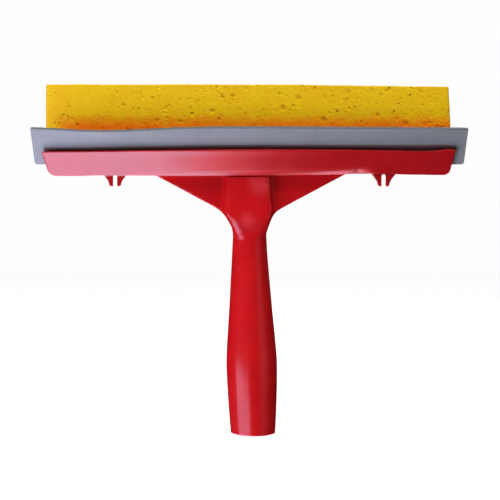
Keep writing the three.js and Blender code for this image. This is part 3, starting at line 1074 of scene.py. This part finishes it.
def yellow_foam():
    """Yellow cellulose foam: fine cells, darker pores with painted shade deeper in the pits, and
    painted shade tinted orange by red bounce light along its foot.
    """
    material, tree, shader, places = new_material("yellow_foam")
    warm = (0.88, 0.52, 0.008)
    fresh = (0.88, 0.63, 0.008)
    pore = (0.72, 0.34, 0.004)
    painted_bounce_orange = (0.98, 0.140, 0.005)
    cloud = spread(tree, noise(tree, places, scale=60, detail=5, roughness=0.6), 0.3, 0.7)
    colour = mixed(tree, cloud, warm, fresh)
    cells = node(tree, "ShaderNodeTexVoronoi", Scale=900, Randomness=1.0)
    tree.links.new(places, cells.inputs["Vector"])
    cell_depth = cells.outputs["Distance"]
    colour = mixed(tree, spread(tree, cell_depth, 0.15, 0.6, 0.28, 0.0), colour, pore)
    # Painted shade in the pits, darker where they are deeper
    colour = mixed(tree, spread(tree, stored(tree, "pit"), 0.2, 1.0, 0.0, 0.65), colour, pore)
    spots = node(tree, "ShaderNodeTexVoronoi", Scale=260, Randomness=1.0)
    tree.links.new(places, spots.inputs["Vector"])
    spot = spread(tree, spots.outputs["Distance"], 0.06, 0.24, 0.6, 0.0)
    patchy = spread(tree, noise(tree, places, scale=90, detail=3), 0.40, 0.55)
    colour = mixed(tree, math_node(tree, "MULTIPLY", spot, patchy), colour, pore)
    # Painted shade tinted orange by red bounce light, along the sponge's lower part
    colour = mixed(tree, bounce_shade_band(tree, places), colour, painted_bounce_orange)
    tree.links.new(colour, shader.inputs["Base Color"])
    gloss = spread(tree, cell_depth, 0.1, 0.6, 0.95, 0.8)
    tree.links.new(gloss, shader.inputs["Roughness"])
    bumped(tree, shader, cell_depth, strength=0.5, depth_mm=0.35)
    shader.inputs["Specular IOR Level"].default_value = 0.25
    return material


def plain_white():
    """The floor and backdrop: close to white, with barely a shadow."""
    material, _, shader, _ = new_material("studio_white")
    shader.inputs["Base Color"].default_value = (0.5, 0.5, 0.5, 1)
    shader.inputs["Roughness"].default_value = 1.0
    shader.inputs["Emission Color"].default_value = (1, 1, 1, 1)
    shader.inputs["Emission Strength"].default_value = 0.93
    return material


# ---------------------------------------------------------------- studio, in metres

# White shell: its radius, that of the curve up from its floor, and its mesh's steps
STUDIO_RADIUS = 6.0
STUDIO_TURN = 1.5
STUDIO_STEPS = 8
STUDIO_SIDES = 48

# Heights of the two layers of glowing panels, under the floor, and the panels' colours
LOWER_LAYER_Z = -0.15
UPPER_LAYER_Z = -0.145
PALE_GLOW = (0.80, 0.70, 1.0)
COOL_GLOW = (0.74, 0.74, 1.0)
WARM_GLOW = (1.0, 0.17, 0.18)
REAR_GLOW = (0.9, 0.8, 1.0)
REAR_WARM_GLOW = (1.0, 0.30, 0.30)
REAR_RIGHT_GLOW = (1.0, 0.55, 0.7)

# Lights, which all face the object's middle
OBJECT_MIDDLE = (0, 0, 0.12)
FILL_SIZE = (0.8, 0.8)
BACK_SIZE = (1.2, 1.2)
BACK_PLACE = (0.55, 1.35, 0.90)

CAMERA_PLACE = (0.0004, -0.700, 0.1090)
LENS_MM = 84.74
SENSOR_MM = 36


def add_mesh(name, points, faces):
    """A new object in the scene, from points and faces."""
    mesh = bpy.data.meshes.new(name)
    mesh.from_pydata(points, [], faces)
    made = bpy.data.objects.new(name, mesh)
    bpy.context.scene.collection.objects.link(made)
    return made


def studio_profile():
    """From the middle of the floor outwards, up a curve, and over the dome: (out, height)."""
    profile = [(0.0, 0.0)]
    for step in range(STUDIO_STEPS + 1):
        angle = step / STUDIO_STEPS * math.pi / 2
        out = STUDIO_RADIUS - STUDIO_TURN + STUDIO_TURN * math.sin(angle)
        profile.append((out, STUDIO_TURN - STUDIO_TURN * math.cos(angle)))
    for step in range(1, STUDIO_STEPS + 1):
        angle = step / STUDIO_STEPS * math.pi / 2
        height = STUDIO_TURN + STUDIO_RADIUS * math.sin(angle)
        profile.append((STUDIO_RADIUS * math.cos(angle), height))
    return profile


def make_studio_floor():
    """A white floor that curves up, far away on all sides, into a white dome."""
    profile = studio_profile()
    sides = STUDIO_SIDES
    points = []
    for out, height in profile:
        for side in range(sides):
            angle = 2 * math.pi * side / sides
            points.append((out * math.cos(angle), out * math.sin(angle), height))
    faces = []
    for ring in range(len(profile) - 1):
        for side in range(sides):
            low = ring * sides + side
            low_next = ring * sides + (side + 1) % sides
            faces.append((low, low_next, low_next + sides, low + sides))
    shell = add_mesh("studio_floor", points, faces)
    shell.data.materials.append(plain_white())
    shell.visible_diffuse = False
    shell.visible_glossy = False
    shell.visible_shadow = False


def emitter(name, colour, strength):
    """A material that only glows."""
    material = bpy.data.materials.new(name)
    material.use_nodes = True
    tree = material.node_tree
    tree.nodes.clear()
    glow = tree.nodes.new("ShaderNodeEmission")
    glow.inputs["Color"].default_value = (*colour, 1)
    glow.inputs["Strength"].default_value = strength
    output = tree.nodes.new("ShaderNodeOutputMaterial")
    tree.links.new(glow.outputs["Emission"], output.inputs["Surface"])
    return material


def add_panel(name, corners, z, colour, strength):
    """A glowing sheet under the studio floor, which lets its light through."""
    panel = add_mesh(name, [(x, y, z) for x, y in corners], [tuple(range(len(corners)))])
    panel.data.materials.append(emitter(name, colour, strength))
    panel.visible_camera = False
    return panel


def shine_only(panel):
    """Leave a panel in reflections only, so that it adds no soft light and shades nothing."""
    panel.visible_diffuse = False
    panel.visible_shadow = False


def make_broad_panels():
    """A broad light to the front and left. Its middle is weaker in reflections than it lights."""
    inner = [(0.005, 0.0), (-0.205, -0.76), (-0.366, -0.795), (-0.206, -0.055)]
    middle = [(-0.206, -0.055), (-0.366, -0.795), (-0.743, -0.876), (-0.697, -0.180)]
    outer = [(-0.697, -0.180), (-0.743, -0.876), (-1.55, -1.05), (-1.75, -0.40)]
    add_panel("inner_panel", inner, LOWER_LAYER_Z, PALE_GLOW, 3.9)
    add_panel("outer_panel", outer, LOWER_LAYER_Z, PALE_GLOW, 3.9)
    matt = add_panel("matt_panel", middle, LOWER_LAYER_Z, PALE_GLOW, 3.9)
    matt.visible_glossy = False
    shine_only(add_panel("middle_panel", middle, UPPER_LAYER_Z, PALE_GLOW, 3.2))


def make_near_panels():
    """Brighter shines close under the blade, cool on the left and warm near the middle."""
    near = [(-0.020, 0.05), (-0.020, -0.07), (-0.09, -0.22), (-0.28, -0.22), (-0.28, 0.05)]
    warm = [(0.025, 0.05), (0.025, -0.07), (-0.02, -0.22), (-0.09, -0.22), (-0.020, -0.07)]
    warm.append((-0.020, 0.05))
    shine_only(add_panel("near_panel", near, UPPER_LAYER_Z, COOL_GLOW, 6.4))
    shine_only(add_panel("warm_panel", warm, UPPER_LAYER_Z, WARM_GLOW, 4.6))


def make_rear_panels():
    """Panels behind the blade, for the surfaces that face mostly down."""
    rear = [(0.005, 0.06), (0.005, 0.45), (-0.30, 0.45), (-0.30, 0.06)]
    rear_warm = [(0.062, 0.03), (0.062, 0.45), (0.005, 0.45), (0.005, 0.03)]
    rear_right = [(0.11, 0.03), (0.11, 0.45), (0.062, 0.45), (0.062, 0.03)]
    add_panel("rear_panel", rear, UPPER_LAYER_Z, REAR_GLOW, 4.6)
    add_panel("rear_warm_panel", rear_warm, UPPER_LAYER_Z, REAR_WARM_GLOW, 3.0)
    add_panel("rear_right_panel", rear_right, UPPER_LAYER_Z, REAR_RIGHT_GLOW, 4.8)


def area_light(name, place, size, power):
    """A white rectangle of light, turned to the object."""
    light = bpy.data.lights.new(name, "AREA")
    light.shape = "RECTANGLE"
    light.size, light.size_y = size
    light.energy = power
    made = bpy.data.objects.new(name, light)
    bpy.context.scene.collection.objects.link(made)
    made.location = place
    direction = Vector(OBJECT_MIDDLE) - Vector(place)
    made.rotation_euler = direction.to_track_quat("-Z", "Y").to_euler()
    made.visible_camera = False
    return made


def make_world():
    """A faint even light, which reflections leave out."""
    world = bpy.data.worlds.new("studio")
    bpy.context.scene.world = world
    world.use_nodes = True
    background = world.node_tree.nodes["Background"]
    background.inputs["Color"].default_value = (1.0, 0.98, 1.0, 1)
    background.inputs["Strength"].default_value = 0.08
    world.cycles_visibility.glossy = False


def make_camera():
    """Level, square to the blade, and 0.7 m in front of the handle."""
    data = bpy.data.cameras.new("camera")
    data.sensor_width = SENSOR_MM
    data.lens = LENS_MM
    data.clip_start = 0.01
    camera = bpy.data.objects.new("camera", data)
    bpy.context.scene.collection.objects.link(camera)
    camera.location = CAMERA_PLACE
    camera.rotation_euler = (math.pi / 2, 0, 0)
    bpy.context.scene.camera = camera


def make_lights():
    """Soft fills that no reflection shows, and a light behind that is stronger in reflections."""
    fills = [
        area_light("upper_fill", (-0.22, -0.86, 1.35), FILL_SIZE, 15.5),
        area_light("top_fill", (0.0, -0.30, 1.60), FILL_SIZE, 6),
        area_light("left_fill", (-0.70, -1.20, -0.50), FILL_SIZE, 3.0),
        area_light("right_fill", (1.30, -0.90, 0.0), FILL_SIZE, 4.5),
    ]
    for fill in fills:
        fill.visible_glossy = False
    area_light("back_fill", BACK_PLACE, BACK_SIZE, 13)
    back_shine = area_light("back_shine", BACK_PLACE, BACK_SIZE, 12)
    back_shine.visible_diffuse = False


def make_studio():
    make_camera()
    make_studio_floor()
    make_broad_panels()
    make_near_panels()
    make_rear_panels()
    make_world()
    make_lights()
    bpy.context.scene.view_settings.view_transform = "Standard"


# ---------------------------------------------------------------- the object


def place(piece, body, replaced, slot, material):
    """Put a piece on its body, in place of its CAD node, with its material; its slot is not used."""
    piece.data.materials.append(material)
    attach(piece, body)
    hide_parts(replaced)


def make_squeegee():
    plastic = red_plastic("red_plastic", (0.54, 0.0060, 0.0090), (0.60, 0.0080, 0.0100), 1.5)
    # The jaw gets the frame's red made darker, as painted shade on its face
    shaded_jaw_plastic = red_plastic("shaded_jaw_plastic", (0.44, 0.0060, 0.0085), (0.48, 0.0070, 0.0095), 1.6)
    place(make_frame(), "head_and_handle", "handle_frame", "red_plastic", plastic)
    place(make_jaw(), "head_and_handle", "front_jaw", "red_plastic", shaded_jaw_plastic)
    place(make_blade(), "blade", "rubber_blade", "grey_rubber", grey_rubber())
    place(make_tray(), "sponge_unit", "sponge_tray", "red_plastic", plastic)
    sponge = make_sponge()
    place(sponge, "sponge_unit", "sponge", "yellow_sponge", yellow_foam())


make_studio()
make_squeegee()
